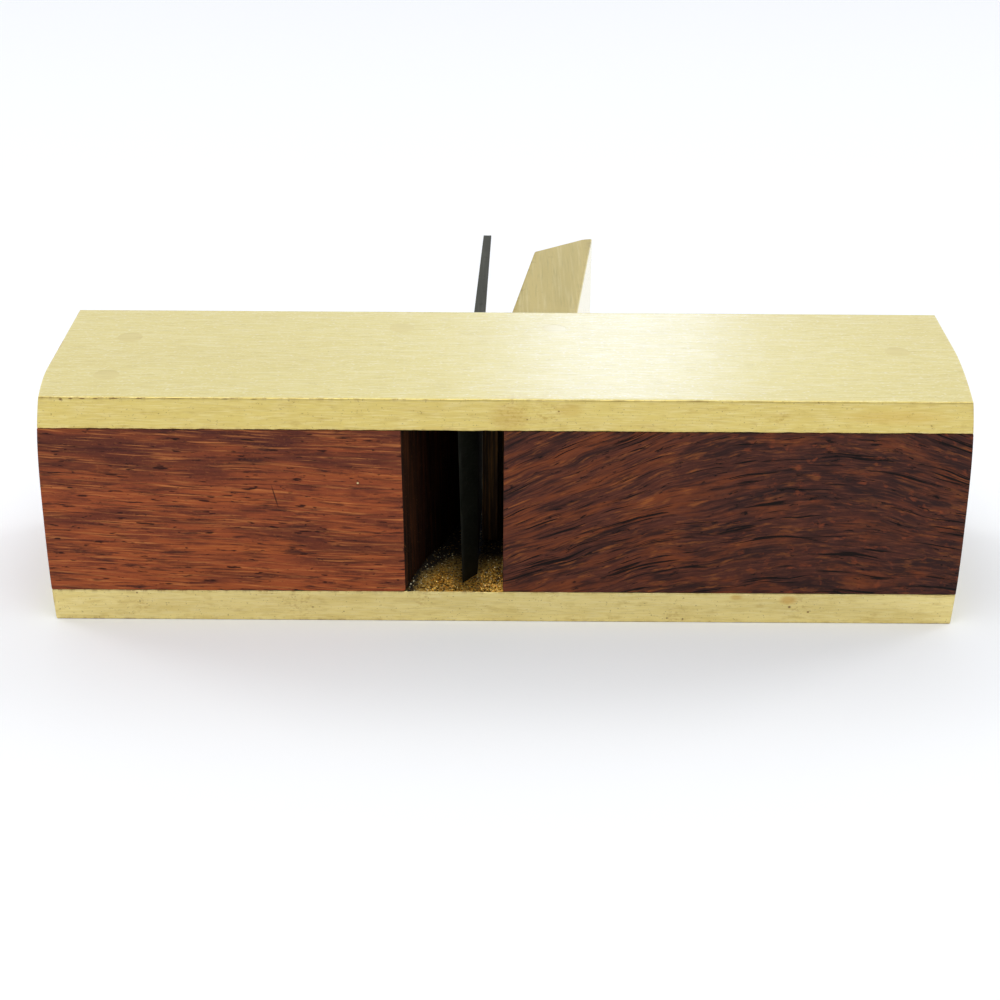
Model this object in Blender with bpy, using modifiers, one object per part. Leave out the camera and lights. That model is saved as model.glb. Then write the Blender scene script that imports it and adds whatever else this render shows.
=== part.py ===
"""Small scraping plane: brass cheeks riveted over rosewood infill, an iron and a brass wedge.

The plane lies on one cheek, as such planes are put down. X runs along its length from toe to
heel, the sole faces -Y, and Z is up across its width. The origin is the middle of the outer
face it lies on. In the outlines below, a point is (x, height), where height is the distance
above the sole. Metres throughout.
"""
import math

import bmesh
import bpy
from mathutils import Vector

MM = 0.001

# Driving dimensions of the body.
LENGTH = 114.7 * MM
HEIGHT = 30.6 * MM
CHEEK_THICKNESS = 4.2 * MM
INFILL_BAY = 22.0 * MM
WIDTH = INFILL_BAY + 2 * CHEEK_THICKNESS
MIDDLE = WIDTH / 2

# Both ends are sanded by hand: each draws in towards the sole, and more so at the cheeks'
# outer corners. Each row holds the draw at mid-width, at the upper and the lower corner, and
# the height above the sole where it has died out.
TOE_EASE = (0.0, 0.88 * MM, 0.38 * MM, 9.0 * MM)
HEEL_EASE = (0.56 * MM, 0.72 * MM, 0.45 * MM, 17.0 * MM)
EASE_POWER = 1.5
CORNER_POWER = 3
END_CUTS = 13
END_MARGIN = 2.0 * MM

# Clearances: around what slides, in the glue lines, and around a rivet in its hole.
SLIDING_GAP = 0.3 * MM
GLUE_LINE = 0.1 * MM
RIVET_GAP = 0.06 * MM

# The throat between the two infill blocks.
THROAT_FRONT = -12.6 * MM
THROAT_REAR = -0.35 * MM
FRONT_WALL_LEAN = math.radians(17.7)
REAR_WALL_LEAN = math.radians(22.0)
MOUTH_ROUNDING = 0.35 * MM
BRASS_ARRIS = 0.22 * MM

# The iron: a tapered blade, thickest behind its ground bevel.
EDGE = Vector((-5.8, 2.16)) * MM
BEVEL_HEEL = Vector((-3.65, 4.65)) * MM
BLADE_TOP_FRONT = Vector((-3.65, 77.8)) * MM
BLADE_TOP_REAR = Vector((-2.4, 77.95)) * MM
BLADE_WIDTH = INFILL_BAY - 2 * SLIDING_GAP
BLADE_CORNER = 0.12 * MM

# The wedge: its face towards the iron, its driven head, and the step down to its thin tip.
WEDGE_TIP_FRONT = Vector((-3.2, 13.8)) * MM
WEDGE_TIP_REAR = Vector((-1.15, 13.8)) * MM
WEDGE_HEAD_FRONT = Vector((4.17, 70.0)) * MM
WEDGE_HEAD_CREST = Vector((11.81, 76.4)) * MM
WEDGE_HEAD_REAR = Vector((13.32, 76.6)) * MM
WEDGE_REAR_LEAN = math.radians(5.7)
WEDGE_WIDTH = INFILL_BAY - 2 * SLIDING_GAP
WEDGE_CORNER = 0.3 * MM
WEDGE_ARRIS = 0.25 * MM

# Brass rod through both cheeks: the cross pin that the wedge bears on, and the four rivets.
ROD_RADIUS = 1.6 * MM
ROD_SEGMENTS = 40
ROD_CHAMFER = 0.08 * MM
ROD_RECESS = 0.02 * MM
CROSS_PIN = Vector((6.12, 24.34)) * MM
RIVETS = (
    Vector((-49.55, 7.2)) * MM,
    Vector((-48.85, 20.3)) * MM,
    Vector((-13.85, 24.4)) * MM,
    Vector((49.85, 16.7)) * MM,
)

# Finishes: linear colour, roughness, metallic.
BRASS_PLATE = ((0.67, 0.53, 0.20), 0.34, 1.0)
BRASS_WEDGE = ((0.60, 0.50, 0.22), 0.42, 1.0)
BRASS_ROD = ((0.58, 0.46, 0.18), 0.38, 1.0)
RED_ROSEWOOD = ((0.22, 0.062, 0.026), 0.45, 0.0)
DARK_ROSEWOOD = ((0.09, 0.027, 0.017), 0.45, 0.0)
TOOL_STEEL = ((0.09, 0.092, 0.075), 0.40, 1.0)

WELD_DISTANCE = 0.00001
ARRIS_ANGLE = math.radians(40)
SMOOTH_ANGLE = math.radians(30)


def clear_scene():
    """Start from a file with no objects in it."""
    for old in list(bpy.data.objects):
        bpy.data.objects.remove(old)


def new_collection(name):
    """A collection linked to the scene."""
    collection = bpy.data.collections.new(name)
    bpy.context.scene.collection.children.link(collection)
    return collection


def new_material(name, finish):
    """A Principled BSDF material from (colour, roughness, metallic)."""
    colour, roughness, metallic = finish
    material = bpy.data.materials.new(name)
    material.use_nodes = True
    shader = material.node_tree.nodes["Principled BSDF"]
    shader.inputs["Base Color"].default_value = (*colour, 1.0)
    shader.inputs["Roughness"].default_value = roughness
    shader.inputs["Metallic"].default_value = metallic
    material.diffuse_color = (*colour, 1.0)
    return material


def dress(part, finish):
    """Give a part its own material and smooth shading on its round faces."""
    part.data.materials.clear()
    part.data.materials.append(new_material(part.name, finish))
    part.data.shade_smooth()
    part.data.set_sharp_from_angle(angle=SMOOTH_ANGLE)


def leaning_line(foot, lean):
    """A point and a direction, for a line that leans towards the heel as it rises."""
    return foot, Vector((math.sin(lean), math.cos(lean)))


def crossing(first, second):
    """Where two (point, direction) lines meet."""
    (a, along_a), (b, along_b) = first, second
    span = b - a
    reach = (span.x * along_b.y - span.y * along_b.x) / (along_a.x * along_b.y - along_a.y * along_b.x)
    return a + along_a * reach


def at_height(line, height):
    """The point of a (point, direction) line at one height above the sole."""
    point, along = line
    return point + along * ((height - point.y) / along.y)


def rounded(corner, before, after, radius, steps=4):
    """An arc that rounds off the corner between its two neighbours."""
    to_before = (before - corner).normalized()
    to_after = (after - corner).normalized()
    half_angle = to_before.angle(to_after) / 2
    setback = radius / math.tan(half_angle)
    centre = corner + (to_before + to_after).normalized() * (radius / math.sin(half_angle))
    start = corner + to_before * setback - centre
    end = corner + to_after * setback - centre
    first = math.atan2(start.y, start.x)
    sweep = math.remainder(math.atan2(end.y, end.x) - first, math.tau)
    angles = [first + sweep * step / steps for step in range(steps + 1)]
    return [centre + Vector((math.cos(angle), math.sin(angle))) * radius for angle in angles]


def drawn_in(ease, height, across):
    """How far an end draws in at one height, and at one offset from mid-width."""
    middle, upper, lower, reach = ease
    rise = min(max(height / reach, 0.0), 1.0)
    corner = upper if across > 0 else lower
    crown = corner * abs(2 * across / WIDTH) ** CORNER_POWER
    return (middle + crown) * (1 - rise) ** EASE_POWER


def sanded_body(collection):
    """A block with the body's two sanded ends, taller and wider than the body itself."""
    shape = bmesh.new()
    bmesh.ops.create_cube(shape, size=1.0)
    size = Vector((LENGTH, HEIGHT + 2 * END_MARGIN, WIDTH + 2 * END_MARGIN))
    bmesh.ops.scale(shape, vec=size, verts=shape.verts)
    bmesh.ops.subdivide_edges(shape, edges=shape.edges, cuts=END_CUTS, use_grid_fill=True)
    for vertex in shape.verts:
        height = vertex.co.y + HEIGHT / 2
        end = HEEL_EASE if vertex.co.x > 0 else TOE_EASE
        if abs(vertex.co.x) > LENGTH / 2 - WELD_DISTANCE:
            vertex.co.x -= math.copysign(drawn_in(end, height, vertex.co.z), vertex.co.x)
    bmesh.ops.triangulate(shape, faces=shape.faces)
    mesh = bpy.data.meshes.new("sanded_body")
    shape.to_mesh(mesh)
    shape.free()
    body = bpy.data.objects.new("sanded_body", mesh)
    body.location.z = MIDDLE
    body.hide_render = True
    body.display_type = "WIRE"
    collection.objects.link(body)
    return body


def plate(name, outline, thickness, collection, origin=None):
    """A closed mesh from a flat outline, extruded evenly about the middle of the width."""
    origin = origin if origin is not None else Vector((0.0, HEIGHT / 2))
    curve = bpy.data.curves.new(name, "CURVE")
    curve.dimensions = "2D"
    curve.fill_mode = "BOTH"
    curve.extrude = thickness / 2
    spline = curve.splines.new("POLY")
    spline.points.add(len(outline) - 1)
    for point, corner in zip(spline.points, outline):
        point.co = (*(corner - origin), 0.0, 1.0)
    spline.use_cyclic_u = True
    drawn = bpy.data.objects.new(name + "_outline", curve)
    collection.objects.link(drawn)
    drawn.location = (origin.x, origin.y - HEIGHT / 2, MIDDLE)
    bpy.context.view_layer.update()
    mesh = bpy.data.meshes.new_from_object(drawn.evaluated_get(bpy.context.evaluated_depsgraph_get()))
    shape = bmesh.new()
    shape.from_mesh(mesh)
    bmesh.ops.remove_doubles(shape, verts=shape.verts, dist=WELD_DISTANCE)
    bmesh.ops.recalc_face_normals(shape, faces=shape.faces)
    shape.to_mesh(mesh)
    shape.free()
    mesh.name = name
    part = bpy.data.objects.new(name, mesh)
    part.matrix_world = drawn.matrix_world
    collection.objects.link(part)
    bpy.data.objects.remove(drawn)
    return part


def rod(name, place, radius, length, collection):
    """A round bar across the body, centred in its width."""
    shape = bmesh.new()
    bmesh.ops.create_cone(
        shape, cap_ends=True, segments=ROD_SEGMENTS, radius1=radius, radius2=radius, depth=length
    )
    mesh = bpy.data.meshes.new(name)
    shape.to_mesh(mesh)
    shape.free()
    part = bpy.data.objects.new(name, mesh)
    part.location = (place.x, place.y - HEIGHT / 2, MIDDLE)
    collection.objects.link(part)
    return part


def ease_arrises(part, width, segments=1):
    """Take the sharp edges off a part."""
    bevel = part.modifiers.new("eased_arrises", "BEVEL")
    bevel.width = width
    bevel.segments = segments
    bevel.limit_method = "ANGLE"
    bevel.angle_limit = ARRIS_ANGLE
    weld = part.modifiers.new("welded_slivers", "WELD")
    weld.merge_threshold = WELD_DISTANCE


def sand_ends(part, body):
    """Keep only what lies within the sanded body."""
    ends = part.modifiers.new("sanded_ends", "BOOLEAN")
    ends.operation = "INTERSECT"
    ends.solver = "EXACT"
    ends.object = body


def drill(part, cutters):
    """Cut each drilled hole in a part."""
    for cutter in cutters:
        hole = part.modifiers.new(cutter.name, "BOOLEAN")
        hole.operation = "DIFFERENCE"
        hole.solver = "EXACT"
        hole.object = cutter


def slide_guide(name, foot, along, part, collection):
    """An empty on a slide's axis, its Y along the travel, that carries the sliding part."""
    guide = bpy.data.objects.new(name, None)
    guide.location = (foot.x, foot.y - HEIGHT / 2, MIDDLE)
    guide.rotation_euler = (0.0, 0.0, -math.atan2(along.x, along.y))
    collection.objects.link(guide)
    bpy.context.view_layer.update()
    part.parent = guide
    part.matrix_parent_inverse = guide.matrix_world.inverted()


def blade_front():
    """The flat face of the iron, towards the toe."""
    return EDGE, (BLADE_TOP_FRONT - EDGE).normalized()


def toe_outline():
    """The front block: the throat's front wall, up to the land that the iron rests on."""
    rim = Vector((THROAT_FRONT, 0.0))
    wall = leaning_line(rim, FRONT_WALL_LEAN)
    face, along_face = blade_front()
    land = (face - Vector((SLIDING_GAP, 0.0)), along_face)
    brow = crossing(wall, land)
    foot = Vector((-LENGTH / 2 - END_MARGIN, 0.0))
    top = Vector((foot.x, HEIGHT))
    return [top, foot] + rounded(rim, foot, brow, MOUTH_ROUNDING) + [brow, at_height(land, HEIGHT)]


def heel_outline():
    """The rear block: the leaning rear wall of the throat, and the heel."""
    rim = Vector((THROAT_REAR, 0.0))
    crest = at_height(leaning_line(rim, REAR_WALL_LEAN), HEIGHT)
    foot = Vector((LENGTH / 2 + END_MARGIN, 0.0))
    return rounded(rim, crest, foot, MOUTH_ROUNDING) + [foot, Vector((foot.x, HEIGHT)), crest]


def cheek_outline():
    """The side of the body, before its ends are sanded."""
    reach = LENGTH / 2 + END_MARGIN
    return [Vector(corner) for corner in ((-reach, 0), (reach, 0), (reach, HEIGHT), (-reach, HEIGHT))]


def blade_outline():
    """The iron from the side: ground bevel on the rear, tapering to a rounded-off top."""
    top = rounded(BLADE_TOP_REAR, BEVEL_HEEL, BLADE_TOP_FRONT, BLADE_CORNER)
    top += rounded(BLADE_TOP_FRONT, BLADE_TOP_REAR, EDGE, BLADE_CORNER)
    return [EDGE, BEVEL_HEEL] + top


def wedge_bearing_lean():
    """The lean of the wedge's lower rear face, which passes the cross pin at a sliding gap."""
    to_pin = CROSS_PIN - WEDGE_TIP_REAR
    lean_to_centre = math.atan2(to_pin.x, to_pin.y)
    return lean_to_centre - math.asin((ROD_RADIUS + SLIDING_GAP) / to_pin.length)


def wedge_outline():
    """The wedge from the side: thin tip, bearing face, parallel shank and struck head."""
    bearing = leaning_line(WEDGE_TIP_REAR, wedge_bearing_lean())
    shank = leaning_line(WEDGE_HEAD_REAR, WEDGE_REAR_LEAN)
    shoulder = crossing(bearing, shank)
    corners = [
        WEDGE_TIP_FRONT, WEDGE_TIP_REAR, shoulder,
        WEDGE_HEAD_REAR, WEDGE_HEAD_CREST, WEDGE_HEAD_FRONT,
    ]
    outline = []
    for place, corner in enumerate(corners):
        before = corners[place - 1]
        after = corners[(place + 1) % len(corners)]
        outline += rounded(corner, before, after, WEDGE_CORNER)
    return outline


def build():
    """Model the plane."""
    clear_scene()
    plane = new_collection("scraping_plane")
    cutters = new_collection("cutters")

    holes = []
    for number, place in enumerate((*RIVETS, CROSS_PIN), start=1):
        hole = rod(f"hole_{number}", place, ROD_RADIUS + RIVET_GAP, 2 * WIDTH, cutters)
        hole.hide_render = True
        hole.display_type = "WIRE"
        holes.append(hole)
    toe_holes, heel_holes = holes[:3], holes[3:4]
    body = sanded_body(cutters)

    cheek_offset = (INFILL_BAY + CHEEK_THICKNESS) / 2
    for name, side in (("lower_cheek", -1), ("upper_cheek", 1)):
        cheek = plate(name, cheek_outline(), CHEEK_THICKNESS, plane)
        cheek.location.z += side * cheek_offset
        sand_ends(cheek, body)
        ease_arrises(cheek, BRASS_ARRIS)
        drill(cheek, holes)
        dress(cheek, BRASS_PLATE)

    block_width = INFILL_BAY - 2 * GLUE_LINE
    toe_block = plate("toe_infill", toe_outline(), block_width, plane)
    sand_ends(toe_block, body)
    drill(toe_block, toe_holes)
    dress(toe_block, RED_ROSEWOOD)
    heel_block = plate("heel_infill", heel_outline(), block_width, plane)
    sand_ends(heel_block, body)
    drill(heel_block, heel_holes)
    dress(heel_block, DARK_ROSEWOOD)

    iron = plate("blade", blade_outline(), BLADE_WIDTH, plane, origin=EDGE)
    dress(iron, TOOL_STEEL)
    face_along = (BLADE_TOP_FRONT - EDGE).normalized()
    back_along = (BLADE_TOP_REAR - BEVEL_HEEL).normalized()
    slide_guide("blade_slide", EDGE, face_along + back_along, iron, plane)

    wedge = plate("wedge", wedge_outline(), WEDGE_WIDTH, plane, origin=WEDGE_TIP_FRONT)
    ease_arrises(wedge, WEDGE_ARRIS)
    dress(wedge, BRASS_WEDGE)
    slide_guide("wedge_slide", WEDGE_TIP_FRONT, WEDGE_HEAD_FRONT - WEDGE_TIP_FRONT, wedge, plane)

    rod_length = WIDTH - 2 * ROD_RECESS
    names = [f"{end}_rivet" for end in ("toe_lower", "toe_upper", "brow", "heel")] + ["cross_pin"]
    for name, place in zip(names, (*RIVETS, CROSS_PIN)):
        pin = rod(name, place, ROD_RADIUS, rod_length, plane)
        ease_arrises(pin, ROD_CHAMFER)
        dress(pin, BRASS_ROD)


build()
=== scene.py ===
"""Looks of a small scraping plane: brushed brass cheeks, rosewood infill, dark iron and brass wedge.

Everything is in metres in the row frame. The plane lies on one cheek: X runs from toe to heel,
the sole faces -Y and Z is up across the width. Sizes in the dataclasses are in millimetres.
"""
import logging
import math
from dataclasses import dataclass, field
from enum import Enum
from typing import Any, Sequence

import bpy
import numpy as np
from mathutils import Matrix, Vector, noise


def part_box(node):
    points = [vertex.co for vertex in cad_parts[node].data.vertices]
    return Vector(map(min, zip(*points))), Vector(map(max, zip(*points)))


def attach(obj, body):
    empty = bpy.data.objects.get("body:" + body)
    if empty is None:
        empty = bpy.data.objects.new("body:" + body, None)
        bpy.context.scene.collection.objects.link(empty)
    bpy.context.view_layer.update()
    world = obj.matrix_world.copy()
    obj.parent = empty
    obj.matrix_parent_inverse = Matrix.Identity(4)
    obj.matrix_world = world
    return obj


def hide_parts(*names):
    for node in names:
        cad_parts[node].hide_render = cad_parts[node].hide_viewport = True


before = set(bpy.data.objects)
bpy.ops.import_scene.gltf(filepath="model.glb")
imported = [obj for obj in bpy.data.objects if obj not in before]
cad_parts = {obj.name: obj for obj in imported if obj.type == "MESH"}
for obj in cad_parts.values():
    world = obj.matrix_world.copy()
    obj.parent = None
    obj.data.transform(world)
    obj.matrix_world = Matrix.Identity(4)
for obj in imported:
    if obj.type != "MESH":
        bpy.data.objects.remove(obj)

LOG = logging.getLogger("scraping_plane")
MM = 0.001
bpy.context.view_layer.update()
MATH, VECTOR_MATH, NOISE = "ShaderNodeMath", "ShaderNodeVectorMath", "ShaderNodeTexNoise"
SOLE_Y = -15.3  # millimetres
FIELD_STEPS = (7.3, 3.1, 5.7)  # how far apart the layers' random fields are
SHARP_ANGLE = math.radians(34)
TINY = 1e-9  # keeps a division from being by nothing
THROAT_TOP, THROAT_FADE = 29.0, 6.0  # where the painted shade in the throat ends, and over what height it fades
FRONT_LEAN, REAR_LEAN = 17.7, 22.0  # of the throat's walls, in degrees
Tree, Socket, Piece = bpy.types.NodeTree, bpy.types.NodeSocket, bpy.types.Object
Points = np.ndarray
Colour = tuple[float, float, float, float]


def srgb(code: str) -> Colour:
    """Turn a hex colour, as seen on a screen, into linear light.

    Args:
        code: six hex digits.

    Returns:
        Linear red, green, blue and an alpha of one.
    """
    channels = [int(code[place:place + 2], 16) / 255 for place in (0, 2, 4)]
    linear = [c / 12.92 if c <= 0.04045 else ((c + 0.055) / 1.055) ** 2.4 for c in channels]
    return (linear[0], linear[1], linear[2], 1.0)


def add_node(
    tree: Tree, kind: str, inputs: dict[Any, Any] | None = None, **properties: Any
) -> bpy.types.Node:
    """Add one node with its options and its inputs.

    Args:
        tree: the node tree it goes in.
        kind: the node's type.
        inputs: input name or number to the socket that feeds it, or to its value.
        properties: the node's own options.

    Returns:
        The new node.
    """
    node = tree.nodes.new(kind)
    for name, value in properties.items():
        setattr(node, name, value)
    for name, value in (inputs or {}).items():
        if isinstance(value, Socket):
            tree.links.new(value, node.inputs[name])
        else:
            node.inputs[name].default_value = value
    return node


# ---------------------------------------------------------------- finishes


@dataclass(frozen=True)
class Layer:
    """One tone of a finish, laid over the ones before it wherever its pattern runs high.

    The spacing is the size of the pattern's features along X, Y and Z in millimetres. The
    pattern starts to show at low and is full at high. Depth is relief in millimetres, cut in
    when it is negative, rough is what the layer adds to the roughness and hides is how much of
    the metal it covers. A layer with near shows only where that attribute of the mesh does.
    """

    colour: str
    spacing: tuple[float, float, float]
    low: float
    high: float
    strength: float = 1.0
    detail: float = 2.0
    depth: float = 0.0
    rough: float = 0.0
    hides: float = 0.0
    near: str = ""


@dataclass(frozen=True)
class Spot:
    """A single mark: an ellipse at a place, long by wide in millimetres, turned about Y."""

    place: tuple[float, float, float]
    long: float
    wide: float
    turn: float = 0.0
    colour: str = "754a1a"
    strength: float = 0.85
    depth: float = -0.01
    rough: float = 0.1
    hides: float = 0.4
    reach: float = 0.5

    def mask(self, tree: Tree, own: Socket) -> Socket:
        """Give the spot's mask, which fades at the rim.

        Args:
            tree: the material's node tree.
            own: the object's own coordinates in metres.

        Returns:
            The socket with the mask.
        """
        centre = tuple(value * MM for value in self.place)
        offset = add_node(tree, VECTOR_MATH, {0: own, 1: centre}, operation="SUBTRACT").outputs[0]
        angle = {"Vector": offset, "Angle": math.radians(self.turn)}
        turned = add_node(tree, "ShaderNodeVectorRotate", angle, rotation_type="Y_AXIS").outputs[0]
        sizes = (2 / MM / self.long, 1 / MM / self.reach, 2 / MM / self.wide)
        sized = add_node(tree, VECTOR_MATH, {0: turned, 1: sizes}, operation="MULTIPLY").outputs[0]
        gap = add_node(tree, VECTOR_MATH, {0: sized}, operation="LENGTH").outputs["Value"]
        limits = {0: gap, 1: 0.45, 2: 1.0, 3: self.strength, 4: 0.0}
        return add_node(tree, "ShaderNodeMapRange", limits).outputs[0]


@dataclass(frozen=True)
class Warp:
    """A bend of the grain.

    It rises along X from the point that it is about, steeper by fan for each millimetre up,
    and levels out over the length; wander is how far it strays on the way.
    """

    rise: float = 0.0
    fan: float = 0.0
    length: float = 1000.0
    about: tuple[float, float] = (0.0, 0.0)
    wander: float = 0.0
    wander_spacing: tuple[float, float, float] = (20.0, 20.0, 10.0)


@dataclass(frozen=True)
class Finish:
    """A surface as it was made: a base tone with layers over it, gloss and relief."""

    name: str
    colour: str
    layers: tuple[Layer, ...]
    roughness: float
    metallic: float = 0.0
    specular: float = 0.5
    coat: float = 0.0
    coat_roughness: float = 0.03
    warp: Warp | None = None
    spots: tuple[Spot, ...] = ()

    def material(self) -> bpy.types.Material:
        """Build the material once, and give the same one each time after that.

        Returns:
            The material, with its pattern in the object's own millimetres.
        """
        made = bpy.data.materials.get(self.name)
        if made:
            return made
        made = bpy.data.materials.new(self.name)
        made.use_nodes = True
        tree = made.node_tree
        shader = tree.nodes["Principled BSDF"]
        shader.inputs["Metallic"].default_value = self.metallic
        shader.inputs["Specular IOR Level"].default_value = self.specular
        shader.inputs["Coat Weight"].default_value = self.coat
        shader.inputs["Coat Roughness"].default_value = self.coat_roughness
        place = self.coordinates(tree)
        colour, rough, relief, metal = self.laid(tree, place)
        tree.links.new(colour, shader.inputs["Base Color"])
        tree.links.new(rough, shader.inputs["Roughness"])
        if metal is not None:
            tree.links.new(metal, shader.inputs["Metallic"])
        bump = add_node(tree, "ShaderNodeBump", {"Height": relief, "Strength": 1.0, "Distance": MM})
        tree.links.new(bump.outputs["Normal"], shader.inputs["Normal"])
        made.diffuse_color = srgb(self.colour)
        return made

    def coordinates(self, tree: Tree) -> Socket:
        """Give the object's own coordinates in millimetres, bent as the grain is.

        Args:
            tree: the material's node tree.

        Returns:
            The socket with the coordinates.
        """
        own = add_node(tree, "ShaderNodeTexCoord").outputs["Object"]
        place = add_node(tree, VECTOR_MATH, {0: own, "Scale": 1 / MM}, operation="SCALE").outputs[0]
        if self.warp is None:
            return place
        warp = self.warp
        sizes = tuple(1 / size for size in warp.wander_spacing)
        spread = add_node(tree, VECTOR_MATH, {0: place, 1: sizes}, operation="MULTIPLY").outputs[0]
        drift = add_node(tree, NOISE, {"Vector": spread, "Scale": 1.0, "Detail": 2.0}).outputs[0]
        x, y, z = add_node(tree, "ShaderNodeSeparateXYZ", {0: place}).outputs
        made = {"x": x, "z": z, "drift": drift}
        for name, operation, *terms in (
            ("along", "SUBTRACT", "x", warp.about[0]),
            ("height", "SUBTRACT", "z", warp.about[1]),
            ("slope", "MULTIPLY_ADD", "height", warp.fan, warp.rise),
            ("levelling", "MULTIPLY_ADD", "along", -0.5 / warp.length, 1.0),
            ("gone", "MULTIPLY", "along", "levelling"),
            ("climb", "MULTIPLY", "slope", "gone"),
            ("stray", "MULTIPLY_ADD", "drift", warp.wander, -warp.wander / 2),
            ("shift", "SUBTRACT", "stray", "climb"),
            ("level", "ADD", "z", "shift"),
        ):
            inputs = {number: made.get(term, term) for number, term in enumerate(terms)}
            made[name] = add_node(tree, MATH, inputs, operation=operation).outputs[0]
        return add_node(tree, "ShaderNodeCombineXYZ", {0: x, 1: y, 2: made["level"]}).outputs[0]

    def laid(self, tree: Tree, place: Socket) -> tuple[Socket | None, ...]:
        """Lay every layer and then every spot over the base tone.

        Args:
            tree: the material's node tree.
            place: coordinates in millimetres.

        Returns:
            The sockets of colour, roughness, relief in millimetres, and bare metal if any is hidden.
        """
        masks = [self.spread(tree, place, number) for number in range(len(self.layers))]
        own = add_node(tree, "ShaderNodeTexCoord").outputs["Object"]
        masks += [spot.mask(tree, own) for spot in self.spots]
        colour, rough, relief, metal = srgb(self.colour), self.roughness, 0.0, self.metallic
        for mask, tone in zip(masks, (*self.layers, *self.spots)):
            tones = {0: mask, 6: colour, 7: srgb(tone.colour)}
            colour = add_node(tree, "ShaderNodeMix", tones, data_type="RGBA").outputs[2]
            rough, relief = (
                add_node(tree, MATH, {0: mask, 1: amount, 2: before}, operation="MULTIPLY_ADD").outputs[0]
                for amount, before in ((tone.rough, rough), (tone.depth, relief))
            )
            if tone.hides:
                bare = {0: mask, 1: -tone.hides, 2: metal}
                metal = add_node(tree, MATH, bare, operation="MULTIPLY_ADD").outputs[0]
        return colour, rough, relief, metal if isinstance(metal, Socket) else None

    def spread(self, tree: Tree, place: Socket, number: int) -> Socket:
        """Give the pattern of one layer.

        Args:
            tree: the material's node tree.
            place: coordinates in millimetres.
            number: which layer it is.

        Returns:
            The socket with its mask.
        """
        layer = self.layers[number]
        sizes = tuple(1 / size for size in layer.spacing)
        shift = tuple(step * number for step in FIELD_STEPS)
        scaled = add_node(tree, VECTOR_MATH, {0: place, 1: sizes, 2: shift}, operation="MULTIPLY_ADD")
        inputs = {"Vector": scaled.outputs[0], "Scale": 1.0, "Detail": layer.detail, "Roughness": 0.6}
        pattern = add_node(tree, NOISE, inputs).outputs[0]
        limits = {0: pattern, 1: layer.low, 2: layer.high, 3: 0.0, 4: layer.strength}
        mask = add_node(tree, "ShaderNodeMapRange", limits).outputs[0]
        if layer.near:
            close = add_node(tree, "ShaderNodeAttribute", attribute_name=layer.near).outputs["Fac"]
            mask = add_node(tree, MATH, {0: mask, 1: close}, operation="MULTIPLY").outputs[0]
        return mask


# Brown pits and streaks on the cheeks' sole edges: X, Z, length, width and strength.
PITS = (
    (-53.8, 30.1, 0.55, 0.4, 0.85), (-52.6, 30.2, 0.7, 0.22, 0.85), (-51.2, 30.2, 0.9, 0.2, 0.85),
    (-49.6, 30.2, 0.8, 0.2, 0.85), (-47.4, 30.25, 1.4, 0.18, 0.85), (-44.3, 30.25, 1.0, 0.16, 0.85),
    (-40.0, 30.25, 2.6, 0.16, 0.6), (-34.0, 30.25, 1.2, 0.2, 0.6), (-30.5, 30.25, 1.0, 0.2, 0.6),
    (13.4, 30.3, 2.6, 0.2, 0.5), (9.5, 30.3, 3.0, 0.16, 0.4), (22.9, 30.3, 3.6, 0.18, 0.5),
    (30.0, 30.3, 5.0, 0.14, 0.5), (6.2, 28.9, 0.35, 0.28, 0.85), (2.4, 27.8, 0.3, 0.3, 0.7),
    (-46.5, 3.8, 0.3, 0.3, 0.85), (-46.2, 2.6, 0.22, 0.5, 0.6), (-24.4, 1.9, 0.4, 0.25, 0.6),
    (-20.5, 1.3, 0.3, 0.22, 0.6), (35.8, 2.3, 0.45, 0.4, 0.85), (38.2, 1.6, 0.4, 0.35, 0.85),
    (20.4, 0.6, 0.3, 0.35, 0.7), (22.4, 0.5, 0.3, 0.4, 0.7),
)
# How many of the pits lie on the outer arris, where the cheek's face shows them too.
ARRIS_PITS = 13
# Golden tarnish on the same edges: X, Z, length, width, strength, how much metal it hides, colour.
TARNISH = (
    (35.6, 3.3, 2.6, 1.5, 0.55, 0.0, "d2a044"), (29.0, 3.6, 1.8, 0.9, 0.5, 0.0, "cf9f48"),
    (0.2, 28.0, 5.5, 4.2, 0.4, 0.1, "ceaa52"), (7.5, 29.0, 4.0, 2.2, 0.35, 0.1, "d6b45c"),
    (47.0, 28.4, 16.0, 2.6, 0.35, 0.0, "e2be60"),
)
EDGE_SPOTS = (
    *(Spot((x, SOLE_Y, z), long, wide, strength=strength) for x, z, long, wide, strength in PITS),
    *(
        Spot((x, SOLE_Y, z), long, wide, 0.0, colour, strength, 0.0, hides=hides)
        for x, z, long, wide, strength, hides, colour in TARNISH
    ),
)


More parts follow.
